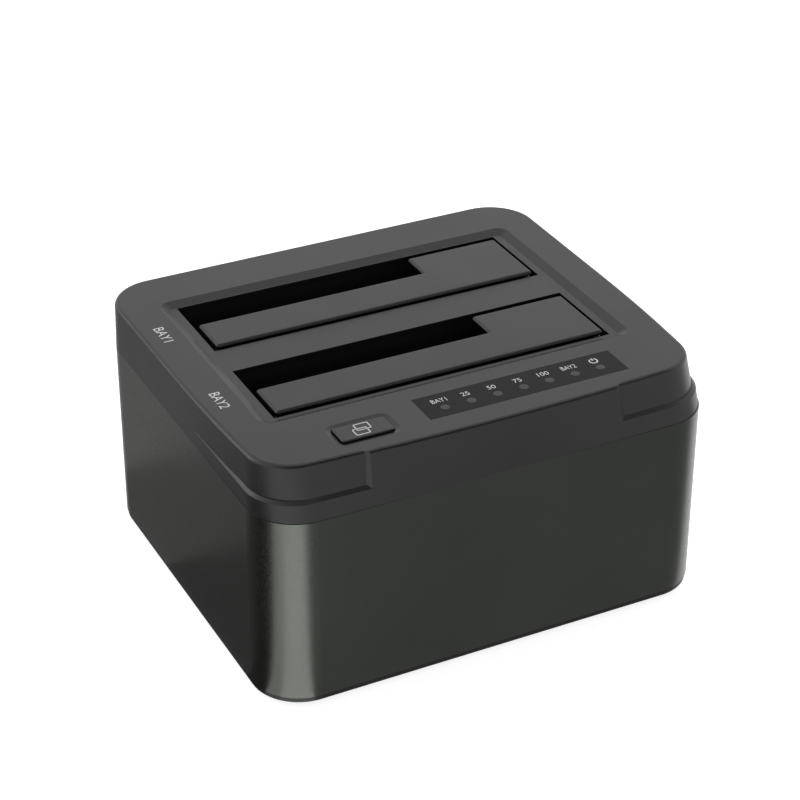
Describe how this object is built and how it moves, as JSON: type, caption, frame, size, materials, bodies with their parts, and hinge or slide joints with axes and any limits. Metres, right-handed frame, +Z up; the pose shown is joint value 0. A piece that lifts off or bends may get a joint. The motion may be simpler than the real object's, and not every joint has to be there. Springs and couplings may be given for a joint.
{
  "type": "drive duplicator",
  "caption": "Desktop dock that copies one bare drive to another: drive bays under sprung L-shaped flaps in a plastic cover on an aluminium sleeve.",
  "frame": {"origin": "middle of the footprint, on the surface the feet stand on", "axes": "+X to the right seen from the copy button's side, +Y to the back where the ports are, +Z up"},
  "size_m": [0.1372, 0.1223, 0.0738],
  "materials": {
    "anodised_aluminium": "satin, grey-green anodised",
    "satin_abs": "fine satin grain",
    "black_abs": "fine moulded grain",
    "black_rubber": "matt",
    "zinc_steel": "zinc plated",
    "bright_steel": "ground",
    "spring_steel": "drawn wire",
    "black_nylon": "moulded",
    "blue_nylon": "moulded",
    "circuit_board": "green solder resist",
    "nickel_shell": "nickel plated",
    "tinned_brass": "tinned",
    "chip_epoxy": "moulded epoxy",
    "capacitor_can": "drawn can with sleeve",
    "ferrite": "ground ferrite",
    "smoked_acrylic": "polished",
    "clear_acrylic": "polished",
    "led_package": "moulded"
  },
  "bodies": {
    "case": {"sleeve": "anodised_aluminium", "base_plate": "black_abs", "rubber_feet": "black_rubber", "case_screws": "zinc_steel", "top_cover": "satin_abs", "front_drive_well": "black_abs", "front_flap_pin": "bright_steel", "front_flap_spring": "spring_steel", "front_drive_connector": "black_nylon", "rear_drive_well": "black_abs", "rear_flap_pin": "bright_steel", "rear_flap_spring": "spring_steel", "rear_drive_connector": "black_nylon", "main_board": "circuit_board", "board_screws": "zinc_steel", "well_screws": "zinc_steel", "panel_screws": "zinc_steel", "usb_port_shell": "nickel_shell", "usb_port_tongue": "blue_nylon", "power_jack_body": "black_nylon", "power_jack_pin": "bright_steel", "power_switch_housing": "black_nylon", "switch_terminals": "tinned_brass", "bridge_chips": "chip_epoxy", "copy_controller": "chip_epoxy", "filter_capacitors": "capacitor_can", "power_coils": "ferrite", "clock_crystal": "nickel_shell", "copy_switch": "black_nylon", "status_window": "smoked_acrylic", "light_guide": "clear_acrylic", "status_lights": "led_package", "control_board": "circuit_board"},
    "front_flap_body": {"front_flap": "satin_abs"},
    "rear_flap_body": {"rear_flap": "satin_abs"},
    "copy_button_body": {"copy_button": "satin_abs", "copy_switch_plunger": "black_nylon"},
    "rocker_body": {"power_rocker": "black_nylon"}
  },
  "joints": [
    {"name": "front_flap_hinge", "type": "hinge", "parent": "case", "child": "front_flap_body", "pos_m": [0, -0.0293, 0.0688], "axis": [-1, 0, 0], "range_deg": [0, 90], "stiffness_Nm_per_rad": 0.0012, "springref_deg": -20.05, "deforming": ["front_flap_spring"]},
    {"name": "rear_flap_hinge", "type": "hinge", "parent": "case", "child": "rear_flap_body", "pos_m": [0, 0.0113, 0.0688], "axis": [-1, 0, 0], "range_deg": [0, 90], "stiffness_Nm_per_rad": 0.0012, "springref_deg": -20.05, "deforming": ["rear_flap_spring"]},
    {"name": "copy_button_press", "type": "slide", "parent": "case", "child": "copy_button_body", "axis": [0, 0, -1], "range_m": [0, 0.0006], "stiffness_N_per_m": 1800, "springref_m": -0.0004},
    {"name": "power_rocker_tilt", "type": "hinge", "parent": "case", "child": "rocker_body", "pos_m": [-0.042, 0.0578, 0.027], "axis": [0, 0, 1], "range_deg": [0, 18]}
  ]
}
